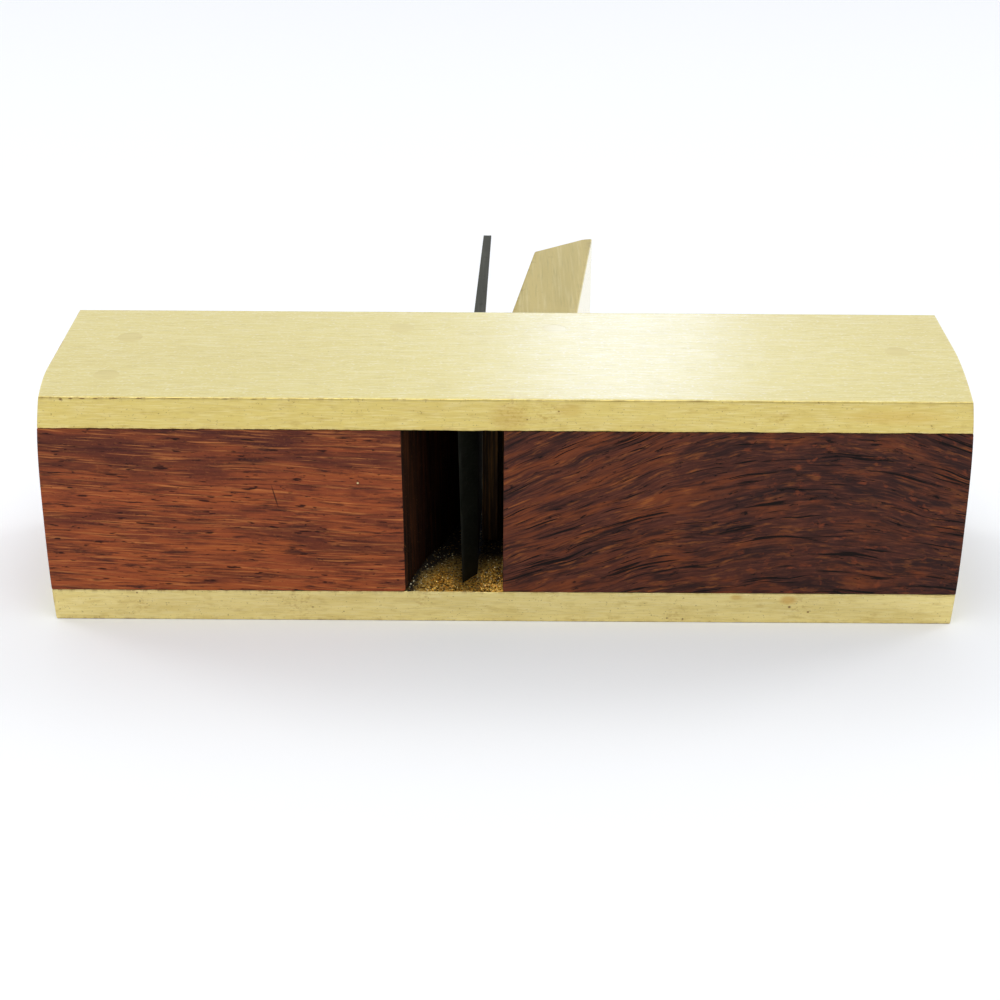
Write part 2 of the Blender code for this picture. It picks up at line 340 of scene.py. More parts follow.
class Brass(Enum):
    """The brass finishes on the plane."""

    # Sheet brass drawn along on fine abrasive and lacquered: pale, with hairlines and a soft glow.
    # Real hairlines are hundredths of a millimetre wide, so here they are coarse enough to show.
    BRUSHED = Finish(
        name="brushed_brass",
        colour="e6d886",
        roughness=0.5,
        metallic=1.0,
        coat=1.0,
        coat_roughness=0.27,
        layers=(
            Layer("dfcf7c", (46.0, 9.0, 4.0), 0.42, 0.66, 0.35, detail=3.0),
            Layer("f4ebb4", (4.0, 0.34, 0.17), 0.46, 0.68, 0.42, rough=-0.05, depth=0.006),
            Layer("c4b15c", (2.6, 0.3, 0.15), 0.52, 0.72, 0.42, rough=0.05, depth=-0.008, detail=3.0),
            Layer("cfbe6a", (4.0, 3.0, 2.0), 0.58, 0.78, 0.25, rough=0.06, detail=4.0),
            Layer("fdf7d2", (0.5, 0.24, 0.16), 0.58, 0.76, 0.5, rough=-0.05, detail=1.0),
            Layer("9a813e", (0.3, 0.26, 0.26), 0.75, 0.81, 0.5, rough=0.1, depth=-0.01, detail=1.0),
            Layer(
                "9a6420", (1.0, 4.0, 4.0), 0.52, 0.64,
                0.8, rough=0.12, hides=0.5, near="arris", detail=4.0
            ),
            Layer(
                "a87a3a", (0.6, 0.9, 0.9), 0.40, 0.60,
                0.35, rough=0.1, hides=0.2, near="stain", detail=3.0
            ),
            # painted shade: the cheek's inner face is darkened near black inside the throat
            Layer("21170c", (3.0, 3.0, 3.0), 0.05, 0.3, 0.95, rough=0.25, near="inside"),
        ),
        spots=EDGE_SPOTS[:ARRIS_PITS],
    )
    # The cheeks' edges, rubbed flat with the wood: yellower, streaked along and tarnished in patches.
    LAPPED = Finish(
        name="lapped_brass",
        colour="f1df96",
        roughness=0.42,
        metallic=1.0,
        coat=0.3,
        coat_roughness=0.24,
        layers=(
            # painted shade: only the upper cheek's edge gets this darker, yellower tone, so it shows less
            # bright than its reflection of the floor makes it
            Layer("dfc971", (9.0, 3.0, 0.8), 0.0, 0.45, 0.85, near="edge_shade", detail=4.0),
            Layer("dac271", (12.0, 5.0, 1.1), 0.44, 0.64, 0.5, detail=3.0),
            Layer("f6e9b4", (3.0, 0.4, 0.2), 0.47, 0.70, 0.4, rough=-0.06, depth=0.004),
            Layer("c6ae62", (2.2, 0.3, 0.16), 0.51, 0.74, 0.4, rough=0.06, depth=-0.006, detail=3.0),
            Layer("bf9f4c", (2.4, 2.0, 0.9), 0.56, 0.76, 0.45, rough=0.08, detail=5.0),
            Layer(
                "7c5420", (0.26, 0.3, 0.22), 0.69, 0.76,
                0.5, rough=0.1, depth=-0.01, hides=0.5, detail=1.0
            ),
            Layer(
                "8a5a20", (0.9, 4.0, 4.0), 0.48, 0.62,
                0.8, rough=0.12, hides=0.5, near="arris", detail=4.0
            ),
            Layer(
                "b58a3c", (0.5, 0.9, 0.3), 0.50, 0.66,
                0.55, rough=0.1, hides=0.1, near="stain", detail=5.0
            ),
        ),
        spots=EDGE_SPOTS,
    )
    # The wedge is cut from bar and only filed: greyer and duller, with coarse strokes along it.
    # The face that slides on the cross pin is polished by it.
    FILED = Finish(
        name="filed_brass",
        colour="c6b36f",
        roughness=0.5,
        metallic=1.0,
        layers=(
            Layer("b8a663", (3.0, 30.0, 2.0), 0.42, 0.66, 0.6, detail=3.0),
            Layer("d1c48c", (0.35, 14.0, 0.35), 0.5, 0.74, 0.5, depth=0.006, rough=-0.05),
            Layer("a3965c", (0.22, 6.0, 0.2), 0.54, 0.78, 0.5, depth=-0.008, rough=0.06),
            Layer("94814a", (1.4, 1.8, 1.4), 0.62, 0.8, 0.35, rough=0.08, detail=4.0),
            Layer("f2e6b0", (6.0, 20.0, 6.0), 0.0, 0.1, 0.9, rough=-0.4, near="polished"),
            Layer("7a5f2a", (2.0, 2.0, 2.0), 0.52, 0.68, 0.6, rough=0.1, near="arris", detail=4.0),
            # painted shade: inside the throat the wedge is darkened to brown-black, with brown streaks
            # painted in as the rosewood's reflection
            Layer("3a2917", (1.2, 9.0, 0.9), 0.0, 0.05, 1.0, rough=0.15, hides=0.4, near="inside"),
            Layer("90662f", (0.3, 3.0, 9.0), 0.48, 0.68, 0.7, near="inside", detail=3.0),
        ),
    )
    # Brass rod of a slightly greener alloy, filed off flush with the cheeks.
    ROD = Finish(
        name="rod_brass",
        colour="e4d482",
        roughness=0.44,
        metallic=1.0,
        coat=1.0,
        coat_roughness=0.24,
        layers=(
            Layer("dac973", (14.0, 0.5, 0.5), 0.44, 0.7, 0.6, depth=0.003),
            Layer("cdba66", (4.0, 0.22, 0.22), 0.5, 0.76, 0.5, depth=-0.005, rough=0.06),
            Layer("b39d4f", (1.2, 1.2, 1.2), 0.6, 0.8, 0.3, rough=0.08, detail=4.0),
        ),
    )
    # Loose filings and dust: small bright chips among darker, tarnished ones; far into the throat and by the
    # front wall they are painted near black as shade.
    FILINGS = Finish(
        name="brass_filings",
        colour="eab852",
        roughness=0.36,
        metallic=1.0,
        layers=(
            Layer("ffe290", (0.24, 0.24, 0.24), 0.5, 0.62, 1.0, rough=-0.14, depth=0.03, detail=1.0),
            Layer("5c3c15", (0.34, 0.34, 0.34), 0.51, 0.60, 0.95, rough=0.2, depth=-0.04, detail=2.0),
            # painted shade: the dust is darkened near black far into the throat and by the front wall
            Layer(
                "1a1209", (0.35, 0.35, 0.35), 0.15, 0.44,
                1.0, rough=0.5, hides=0.8, near="inside", detail=2.0
            ),
            Layer("fff6cc", (9.0, 9.0, 9.0), 0.0, 0.05, 1.0, rough=-0.22, near="glint"),
        ),
    )


class Rosewood(Enum):
    """The two pieces of rosewood, sawn from different boards, and the throat cut through them."""

    # Walls pared across the grain, painted near black for the shade deep in the throat, with the chisel's
    # tracks up them.
    THROAT = Finish(
        name="throat_shaded_rosewood",
        colour="2a170d",
        roughness=0.6,
        specular=0.12,
        layers=(
            Layer("4c2a15", (0.5, 0.9, 14.0), 0.46, 0.62, 0.9, detail=3.0),
            Layer("0f0806", (0.3, 0.6, 9.0), 0.48, 0.62, 0.9, depth=-0.03, detail=3.0),
            Layer("8a5a28", (0.2, 0.2, 0.25), 0.70, 0.76, 0.8, rough=-0.2, detail=1.0),
        ),
    )

    # Straight-grained reddish rosewood, oiled: fine bright lines, short open pores, a dark band.
    RED = Finish(
        name="oiled_red_rosewood",
        colour="a04f2b",
        roughness=0.5,
        specular=0.15,
        warp=Warp(rise=-0.05, wander=1.8, wander_spacing=(26.0, 20.0, 9.0)),
        layers=(
            Layer("b25c2c", (30.0, 6.0, 2.2), 0.45, 0.62, 0.7, detail=3.0),
            Layer("5e2d20", (24.0, 8.0, 2.4), 0.50, 0.63, 0.75, detail=3.0),
            Layer("6e3322", (7.0, 4.0, 1.5), 0.48, 0.62, 0.75, detail=5.0),
            Layer("a9562b", (6.0, 4.0, 1.1), 0.52, 0.64, 0.6, detail=5.0),
            Layer("4a2320", (14.0, 6.0, 2.2), 0.30, 0.56, 0.8, near="band", detail=4.0),
            Layer("d88548", (7.0, 1.2, 0.26), 0.54, 0.70, 0.7, depth=0.006, detail=3.0),
            Layer("4c2218", (6.0, 1.2, 0.28), 0.50, 0.66, 0.85, depth=-0.008, detail=3.0),
            Layer("3e1f1a", (5.0, 3.0, 0.7), 0.58, 0.68, 0.75, detail=4.0),
            Layer("c9793f", (0.4, 1.0, 0.2), 0.60, 0.80, 0.22, detail=1.0),
            Layer("26100f", (2.8, 1.2, 0.5), 0.635, 0.685, 0.9, depth=-0.02, rough=0.2, detail=2.0),
            Layer("2a1412", (1.2, 0.6, 0.36), 0.67, 0.73, 0.8, depth=-0.03, rough=0.2, detail=2.0),
        ),
        # A scratch across the grain, and a chip of brass caught in a pore.
        spots=(
            Spot((-28.55, SOLE_Y, 17.3), 3.9, 0.26, -76.0, "34170f", 0.8, depth=-0.03),
            Spot((-18.3, SOLE_Y, 19.2), 0.34, 0.3, 0.0, "f0dca0"),
        ),
    )
    # Dark figured rosewood: black pore lines that fan upwards, with red-brown light between them.
    DARK = Finish(
        name="figured_dark_rosewood",
        colour="572c20",
        roughness=0.5,
        specular=0.15,
        warp=Warp(
            rise=0.39, fan=0.013, length=38.0, about=(0.0, 10.0), wander=2.6, wander_spacing=(15.0, 24.0, 8.0)
        ),
        layers=(
            Layer("83411f", (9.0, 6.0, 1.3), 0.47, 0.61, 0.8, detail=5.0),
            Layer("2b1615", (10.0, 6.0, 1.2), 0.50, 0.61, 0.85, detail=5.0),
            Layer("b0652f", (3.0, 2.0, 0.4), 0.56, 0.70, 0.6, detail=4.0),
            Layer("2e1a1a", (5.0, 3.0, 2.0), 0.36, 0.60, 0.65, near="band", detail=5.0),
            Layer("8e4526", (1.6, 1.5, 0.7), 0.58, 0.68, 0.6, near="band", detail=5.0),
            Layer("7c4630", (2.4, 1.0, 0.18), 0.50, 0.70, 0.5, depth=0.004, detail=3.0),
            Layer("271413", (3.4, 1.0, 0.22), 0.50, 0.68, 0.8, depth=-0.006, detail=4.0),
            Layer("120a0a", (13.0, 2.0, 0.40), 0.595, 0.622, 0.95, depth=-0.06, rough=0.2, detail=3.0),
            Layer("150c0c", (1.8, 1.0, 0.34), 0.645, 0.68, 0.9, depth=-0.05, rough=0.2, detail=3.0),
        ),
    )


class Steel(Enum):
    """The iron's finishes."""

    # Carbon steel still dark from hardening and oil: olive grey, dull, with faint strokes along it.
    # Its rear face is polished where it stands out of the body, and there given a near-white colour, whiter
    # than steel, as painted brightness; inside the throat it is painted near black as shade.
    HARDENED = Finish(
        name="hardened_steel",
        colour="3e4036",
        roughness=0.46,
        metallic=1.0,
        layers=(
            Layer("303229", (3.0, 22.0, 3.0), 0.42, 0.66, 0.8, detail=4.0),
            Layer("54564d", (0.4, 12.0, 0.3), 0.5, 0.76, 0.5, depth=0.003, rough=-0.06),
            Layer("2c2c26", (0.8, 1.6, 0.8), 0.6, 0.76, 0.6, depth=-0.006, rough=0.12, detail=4.0),
            Layer("574531", (1.4, 2.2, 1.4), 0.64, 0.8, 0.35, rough=0.14, detail=4.0),
            Layer("62645c", (3.0, 0.5, 3.0), 0.3, 0.6, 0.6, near="ground", detail=3.0),
            # partly real polish, partly painted brightness: a near-white colour, whiter than steel, so the
            # face shows white
            Layer("f4f6fa", (6.0, 20.0, 6.0), 0.0, 0.05, 1.0, rough=-0.42, near="polished"),
            # painted shade: the iron is darkened near black inside the throat
            Layer("100f0d", (2.0, 8.0, 2.0), 0.0, 0.05, 1.0, rough=0.4, near="inside"),
        ),
    )


# ---------------------------------------------------------------- mesh tools


def graded(low: float, high: float, step: float, arris: float) -> np.ndarray:
    """Place grid lines along one side: close together at both arrises and even between them.

    Args:
        low: start of the side, in millimetres.
        high: its end.
        step: the even spacing.
        arris: radius of the eased arris.

    Returns:
        The places of the lines.
    """
    offsets = [0.0, 0.41 * arris, arris, arris + 0.35, arris + 0.9]
    inner_low, inner_high = low + offsets[-1], high - offsets[-1]
    count = max(int(round((inner_high - inner_low) / step)), 1)
    middle = np.linspace(inner_low, inner_high, count + 1)[1:-1]
    starts = [low + offset for offset in offsets]
    ends = [high - offset for offset in reversed(offsets)]
    return np.array([*starts, *middle, *ends])


def lattice(grid: Sequence[Sequence[float]]) -> tuple[Points, np.ndarray]:
    """Make the closed surface of a block of grid cells.

    Args:
        grid: grid lines along X, Y and Z.

    Returns:
        The surface's points, and its four-sided faces, which look outwards.
    """
    places = np.stack(np.meshgrid(*grid, indexing="ij"), axis=-1)
    skin = np.zeros(places.shape[:3], bool)
    skin[[0, -1]] = True
    skin[:, [0, -1]] = True
    skin[:, :, [0, -1]] = True
    number = np.full(places.shape[:3], -1)
    number[skin] = np.arange(skin.sum())
    faces = []
    for axis in range(3):
        for end in (0, -1):
            sheet = np.take(number, end, axis=axis)
            corners = (sheet[:-1, :-1], sheet[1:, :-1], sheet[1:, 1:], sheet[:-1, 1:])
            quads = np.stack(corners, axis=-1).reshape(-1, 4)
            turned = (end == 0) != (axis == 1)
            faces.append(quads[:, ::-1] if turned else quads)
    return places[skin], np.concatenate(faces)


def eased_block(
    grid: Sequence[Sequence[float]], radius: float, reach: float
) -> tuple[Points, np.ndarray, np.ndarray]:
    """Make a block and round its twelve arrises.

    Args:
        grid: grid lines along X, Y and Z.
        radius: radius of the rounding.
        reach: the distance over which the nearness to an arris fades.

    Returns:
        The points, the faces, and how near each point is to an arris: one on it, fading to nothing.
    """
    points, faces = lattice(grid)
    low, high = points.min(axis=0), points.max(axis=0)
    gaps = np.sort(np.minimum(points - low, high - points), axis=1)
    inner = np.clip(points, low + radius, high - radius)
    out = points - inner
    length = np.linalg.norm(out, axis=1, keepdims=True)
    rounded = inner + out * np.minimum(1.0, radius / np.maximum(length, TINY))
    return rounded, faces, np.exp(-gaps[:, 1] / reach)


def filleted(points: Points, axis: int, corner: tuple[float, float], side: float, radius: float) -> Points:
    """Round the corner where a block's throat side meets its lowest Y or Z side.

    Args:
        points: the block's points.
        axis: 1 for the Y side, 2 for the Z side.
        corner: X of the throat side, and Y or Z of the other.
        side: 1 where the block ends at the throat, -1 where it starts there.
        radius: radius of the rounding.

    Returns:
        The moved points.
    """
    moved = points.copy()
    past_x = (points[:, 0] - corner[0]) * side + radius
    past_other = corner[1] + radius - points[:, axis]
    inside = (past_x > 0) & (past_other > 0)
    length = np.hypot(past_x, past_other)
    pull = np.where(inside & (length > radius), radius / np.maximum(length, TINY), 1.0)
    moved[:, 0] += side * (past_x * pull - past_x) * inside
    moved[:, axis] -= (past_other * pull - past_other) * inside
    return moved


def rumple(points: Points, spacing: float, seed: int) -> np.ndarray:
    """Smooth random values, between about -1 and 1, at each point.

    Args:
        points: places in millimetres.
        spacing: size of the bumps.
        seed: picks one field from many.

    Returns:
        One value for each point.
    """
    shift = Vector((17.3 * seed, -9.1 * seed, 4.7 * seed))
    return np.array([noise.noise(Vector(point) / spacing + shift) for point in points])


def make_piece(
    name: str,
    points: Points,
    faces: np.ndarray | list,
    finish: Finish,
    body: str,
    marks: dict[str, np.ndarray] | None = None,
    other: tuple[Finish, np.ndarray] | None = None,
) -> Piece:
    """Make a dressed mesh object that rides on a body.

    Args:
        name: the piece's name.
        points: its points in millimetres.
        faces: its faces, as point numbers.
        finish: the finish it wears.
        body: the body it moves with.
        marks: attribute name to one value for each point.
        other: a second finish, and which points' faces wear it.

    Returns:
        The new object.
    """
    mesh = bpy.data.meshes.new(name)
    mesh.from_pydata([tuple(point) for point in points * MM], [], [tuple(map(int, face)) for face in faces])
    for mark, values in (marks or {}).items():
        layer = mesh.attributes.new(mark, "FLOAT", "POINT")
        layer.data.foreach_set("value", np.asarray(values, np.float32))
    mesh.shade_smooth()
    mesh.set_sharp_from_angle(angle=SHARP_ANGLE)
    mesh.materials.append(finish.material())
    if other:
        mesh.materials.append(other[0].material())
        wears = np.array([all(other[1][list(face)]) for face in faces], np.int32)
        mesh.polygons.foreach_set("material_index", wears)
    piece = bpy.data.objects.new(name, mesh)
    bpy.context.scene.collection.objects.link(piece)
    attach(piece, body)
    return piece


def cut_holes(piece: Piece, places: Sequence[tuple[float, float]], radius: float) -> None:
    """Drill round holes through a piece, along Z.

    Args:
        piece: the piece to drill.
        places: the holes' X and Y, in millimetres.
        radius: their radius.
    """
    drills = []
    for x, y in places:
        bpy.ops.mesh.primitive_cylinder_add(vertices=72, radius=radius * MM, depth=100 * MM)
        drill = bpy.context.object
        drill.location = (x * MM, y * MM, 0.0)
        hole = piece.modifiers.new("hole", "BOOLEAN")
        hole.operation = "DIFFERENCE"
        hole.solver = "EXACT"
        hole.object = drill
        drills.append(drill)
    bpy.context.view_layer.update()
    drilled = bpy.data.meshes.new_from_object(piece.evaluated_get(bpy.context.evaluated_depsgraph_get()))
    drilled.shade_smooth()
    drilled.set_sharp_from_angle(angle=SHARP_ANGLE)
    piece.modifiers.clear()
    piece.data = drilled
    for drill in drills:
        bpy.data.objects.remove(drill)


def inside_body(height: np.ndarray) -> np.ndarray:
    """Say how much painted shade each height above the sole gets inside the throat, from one to nothing."""
    return np.clip((THROAT_TOP - height) / THROAT_FADE, 0, 1)


def node_box(node: str) -> tuple[Points, Points]:
    """The lowest and highest corners of a CAD node, in millimetres."""
    low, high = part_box(node)
    return np.array(low) / MM, np.array(high) / MM


# ---------------------------------------------------------------- the body


@dataclass
class SandedEnd:
    """One sanded end of the body, in millimetres.

    The end draws in towards the sole, by middle at mid-width and by more at the outer corners
    of the upper and the lower cheek, and this dies out at the reach above the sole.
    """

    middle: float
    upper: float
    lower: float
    reach: float

    def drawn_in(self, height: np.ndarray, across: np.ndarray) -> np.ndarray:
        """Give how far the end draws in.

        Args:
            height: heights above the sole.
            across: offsets from mid-width, from -1 at the lower cheek to 1 at the upper one.

        Returns:
            One distance for each point.
        """
        rise = np.clip(height / self.reach, 0.0, 1.0)
        corner = np.where(across > 0, self.upper, self.lower)
        return (self.middle + corner * np.abs(across) ** 3) * (1 - rise) ** 1.5


@dataclass
class Body:
    """The riveted body: two cheeks, two blocks of infill and the rods through them."""

    toe_end: SandedEnd = field(default_factory=lambda: SandedEnd(0.0, 0.88, 0.38, 9.0))
    heel_end: SandedEnd = field(default_factory=lambda: SandedEnd(0.56, 0.72, 0.45, 17.0))
    arris: float = 0.16
    blend_length: float = 9.0
    name: str = "body"

    def __post_init__(self) -> None:
        """Read the body's box from the frame."""
        self.low = node_box("lower_cheek")[0]
        self.high = node_box("upper_cheek")[1]

    def sanded(self, points: Points) -> Points:
        """Draw the ends of a straight-ended piece in to the sanded shape.

        Args:
            points: the piece's points.

        Returns:
            The moved points.
        """
        moved = points.copy()
        height = points[:, 1] - self.low[1]
        across = 2 * (points[:, 2] - self.low[2]) / (self.high[2] - self.low[2]) - 1
        for end, place, side in ((self.toe_end, self.low[0], 1), (self.heel_end, self.high[0], -1)):
            share = np.clip(1 + side * (place - points[:, 0]) / self.blend_length, 0, 1)
            moved[:, 0] += side * end.drawn_in(height, across) * np.sqrt(share)
        return moved

    def rod_places(self) -> dict[str, tuple[float, float]]:
        """The middle of each rod in X and Y, by its node's name."""
        names = ("toe_lower_rivet", "toe_upper_rivet", "brow_rivet", "heel_rivet", "cross_pin")
        boxes = {name: node_box(name) for name in names}
        return {name: tuple((low[:2] + high[:2]) / 2) for name, (low, high) in boxes.items()}


# Stains on the cheeks: X, Y, Z and radius in millimetres.
UPPER_STAINS = (
    (-13.0, 15.2, 30.4, 0.6), (0.6, SOLE_Y, 28.6, 2.2), (4.6, SOLE_Y, 28.6, 1.6), (33.0, SOLE_Y, 28.2, 0.8),
)
LOWER_STAINS = (
    (-26.0, SOLE_Y, 2.4, 1.8), (-10.5, SOLE_Y, 3.2, 1.2), (6.0, SOLE_Y, 3.9, 0.8), (21.5, SOLE_Y, 0.9, 1.6),
    (-46.0, SOLE_Y, 2.0, 0.8), (37.0, SOLE_Y, 2.4, 1.4),
)


@dataclass
class Cheek:
    """One brass side plate, with worn arrises and the rods' holes."""

    body: Body
    node: str
    stains: tuple[tuple[float, float, float, float], ...] = ()
    # whether the cheek's edge gets the painted shade; the upper cheek's does
    edge_shade: bool = False
    steps: tuple[float, float, float] = (0.36, 1.4, 0.6)
    arris_reach: float = 0.13
    dent_depth: float = 0.07
    raggedness: float = 0.11
    hole_clearance: float = 0.004
    seed: int = 1

    def build(self) -> Piece:
        """Make the cheek and let it stand for its CAD node.

        Returns:
            The finished piece.
        """
        low, high = node_box(self.node)
        low[0], high[0] = self.body.low[0], self.body.high[0]
        arris = self.body.arris
        grid = [graded(*ends, step, arris) for *ends, step in zip(low, high, self.steps)]
        points, faces, near = eased_block(grid, arris, self.arris_reach)
        points = self.worn(points, near, low, high)
        piece = make_piece(
            f"{self.node}_plate", self.body.sanded(points), faces, Brass.BRUSHED.value,
            self.body.name, self.marks(points, near, low, high),
            (Brass.LAPPED.value, points[:, 1] < low[1] + 0.6 * arris),
        )
        rods = self.body.rod_places()
        rod_low, rod_high = node_box("cross_pin")
        radius = (rod_high[0] - rod_low[0]) / 2 + self.hole_clearance
        cut_holes(piece, list(rods.values()), radius)
        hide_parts(self.node)
        return piece

    def worn(self, points: Points, near: np.ndarray, low: Points, high: Points) -> Points:
        """Dent the arrises and leave the edge against the wood a little ragged.

        Args:
            points: the cheek's points.
            near: how near each is to an arris.
            low: the cheek's lowest corner.
            high: its highest corner.

        Returns:
            The moved points.
        """
        centre = (low + high) / 2
        inwards = centre - points
        inwards[:, 0] = 0.0
        inwards /= np.maximum(np.linalg.norm(inwards, axis=1, keepdims=True), TINY)
        dents = np.maximum(rumple(points, 1.3, self.seed) - 0.15, 0) * near ** 2
        moved = points + inwards * (dents * self.dent_depth)[:, None]
        wood_side = high[2] if self.node == "lower_cheek" else low[2]
        at_wood = np.exp(-np.abs(points[:, 2] - wood_side) / 0.25) * np.exp(-(points[:, 1] - low[1]) / 0.25)
        along = points * (1, 0, 0)
        wave = rumple(along, 2.2, self.seed + 5) + 0.6 * rumple(along, 0.5, self.seed + 6)
        away = math.copysign(1.0, centre[2] - wood_side)
        moved[:, 2] += away * at_wood * self.raggedness * np.maximum(wave + 0.35, 0)
        return moved

    def marks(self, points: Points, near: np.ndarray, low: Points, high: Points) -> dict[str, np.ndarray]:
        """Say where the cheek is tarnished, painted dark as shade inside the throat, stained, and where its
        edge is painted darker as shade.

        Args:
            points: the cheek's points.
            near: how near each is to an arris.
            low: the cheek's lowest corner.
            high: its highest corner.

        Returns:
            The values of each attribute. Tarnish is strongest on the arrises near the toe, and the painted
            shade is on the inner face, fading out at its borders.
        """
        stain = np.zeros(len(points))
        for *place, radius in self.stains:
            gap = np.linalg.norm(points - place, axis=1)
            stain = np.maximum(stain, np.exp(-(gap / radius) ** 2))
        inner = high[2] if self.node == "lower_cheek" else low[2]
        facing = np.clip(1 - np.abs(points[:, 2] - inner) / 0.3, 0, 1)
        border = np.minimum(points[:, 1] - low[1], high[1] - points[:, 1])
        share = (points[:, 0] - self.body.low[0]) / (self.body.high[0] - self.body.low[0])
        return {
            "arris": near * (0.45 + 0.55 * np.clip(1.4 - 2.2 * share, 0, 1)),
            # painted shade on the inner face inside the throat, fading out towards its borders
            "inside": facing * np.clip((border - 0.2) / 1.2, 0, 1),
            "stain": stain,
            "edge_shade": np.full(len(points), float(self.edge_shade)),
        }


@dataclass
class Infill:
    """One rosewood block between the cheeks, shaped on one side by the throat."""

    body: Body
    node: str
    finish: Finish
    slot: str
    wall_lean: float
    land_lean: float = 0.0
    brow_height: float = 100.0
    rim_skew: float = 0.0
    rim_shift: float = 0.0
    rim_rounding: float = 0.35
    corner_rounding: float = 0.55
    arris: float = 0.09
    arris_reach: float = 0.3
    steps: tuple[float, float, float] = (0.8, 1.2, 0.8)

    def build(self) -> Piece:
        """Make the block and let it stand for its CAD node.

        Returns:
            The finished piece.
        """
        low, high = node_box(self.node)
        low[2] = node_box("lower_cheek")[1][2]
        high[2] = node_box("upper_cheek")[0][2]
        at_toe = self.node.startswith("toe")
        side = 1.0 if at_toe else -1.0
        rim = self.rim()
        low[0], high[0] = (self.body.low[0], rim) if at_toe else (rim, self.body.high[0])
        rim_lines = self.rim_rounding * np.array([0.25, 0.45, 0.75])
        corner_lines = self.corner_rounding * np.array([0.3, 0.5, 0.75])
        grid = [graded(*ends, step, self.arris) for *ends, step in zip(low, high, self.steps)]
        finer = (rim - side * rim_lines, low[1] + rim_lines, low[2] + corner_lines)
        grid = [np.unique(np.append(lines, extra)) for lines, extra in zip(grid, finer)]
        points, faces, near = eased_block(grid, self.arris, self.arris_reach)
        points = filleted(points, 1, (rim, low[1]), side, self.rim_rounding)
        points = filleted(points, 2, (rim, low[2]), side, self.corner_rounding)
        share = (points[:, 0] - low[0]) / (high[0] - low[0])
        share = share if at_toe else 1 - share
        in_throat = share > 1 - 0.3 * self.rim_rounding / (high[0] - low[0])
        points[:, 0] += self.rim_skew * share * (points[:, 2] - low[2]) / (high[2] - low[2])
        points[:, 0] += self.wall_shift(points[:, 1] - low[1]) * share
        block = make_piece(
            f"{self.node}_block", self.body.sanded(points), faces, self.finish, self.body.name,
            {"arris": near, "band": self.band(points, low)},
            (Rosewood.THROAT.value, in_throat),
        )
        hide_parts(self.node)
        return block

    def band(self, points: Points, low: Points) -> np.ndarray:
        """Say where the board is darkest: near the upper cheek at the toe, and at the far end at the heel.

        Args:
            points: the block's points.
            low: its lowest corner.

        Returns:
            One value for each point.
        """
        if self.node.startswith("toe"):
            return np.clip((points[:, 2] - low[2]) / 7.0 - 1.9, 0, 1)
        return np.clip((points[:, 0] - 20.0) / 12.0, 0, 1)

    def rim(self) -> float:
        """The X of the throat's rim on the sole, from the CAD node's own corners."""
        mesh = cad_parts[self.node].data
        corners = np.array([vertex.co[:] for vertex in mesh.vertices]) / MM
        on_sole = corners[corners[:, 1] < corners[:, 1].min() + 0.01, 0]
        lean = math.radians(self.wall_lean)
        if self.node.startswith("toe"):
            return on_sole.max() + self.rim_rounding * math.tan(math.pi / 4 - lean / 2)
        return on_sole.min() - self.rim_rounding * math.tan(math.pi / 4 + lean / 2) + self.rim_shift

    def wall_shift(self, height: np.ndarray) -> np.ndarray:
        """How far the throat's wall has leaned at each height above the sole.

        Args:
            height: heights above the sole.

        Returns:
            One distance along X for each.
        """
        wall = np.minimum(height, self.brow_height) * math.tan(math.radians(self.wall_lean))
        land = np.maximum(height - self.brow_height, 0) * math.tan(math.radians(self.land_lean))
        return wall + land


@dataclass
class Rod:
    """A brass rod through the body, filed flush with a slight crown on each end."""

    body: Body
    node: str
    flush_gap: float = 0.001
    crown: float = 0.004
    segments: int = 72

    def build(self) -> Piece:
        """Make the rod and let it stand for its CAD node.

        Returns:
            The finished piece.
        """
        low, high = node_box(self.node)
        centre = (low + high) / 2
        radius = (high[0] - low[0]) / 2
        bottom = self.body.low[2] + self.flush_gap
        top = self.body.high[2] - self.flush_gap
        rings = [(share * radius, self.crown * (1 - share ** 2)) for share in (0.25, 0.5, 0.75, 0.93)]
        ends = [(radius, 0.004), (radius, 1.0)]
        lower = [(r, bottom + self.crown - lift) for r, lift in rings]
        lower += [(r, bottom + self.crown + drop) for r, drop in ends]
        upper = [(r, top - self.crown - drop) for r, drop in reversed(ends)]
        upper += [(r, top - self.crown + lift) for r, lift in reversed(rings)]
        profile = lower + upper
        turns = np.linspace(0, 2 * math.pi, self.segments, endpoint=False)
        points = [(centre[0], centre[1], bottom)]
        for r, z in profile:
            points += [(centre[0] + r * math.cos(a), centre[1] + r * math.sin(a), z) for a in turns]
        points.append((centre[0], centre[1], top))
        faces = self.lathe_faces(len(profile), len(points) - 1)
        rod = make_piece(
            f"{self.node}_rod", np.array(points), faces, Brass.ROD.value, self.body.name
        )
        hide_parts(self.node)
        return rod

    def lathe_faces(self, rings: int, last: int) -> list[tuple[int, ...]]:
        """Join the rings of a turned shape, with a fan at each end.

        Args:
            rings: how many rings there are.
            last: the number of the last point, at the top's middle.

        Returns:
            The faces.
        """
        n = self.segments
        faces: list[tuple[int, ...]] = []
        for turn in range(n):
            after = (turn + 1) % n
            faces.append((0, 1 + after, 1 + turn))
            for ring in range(rings - 1):
                first, second = 1 + ring * n, 1 + (ring + 1) * n
                faces.append((first + turn, first + after, second + after, second + turn))
            top = 1 + (rings - 1) * n
            faces.append((top + turn, top + after, last))
        return faces


# ---------------------------------------------------------------- iron and wedge


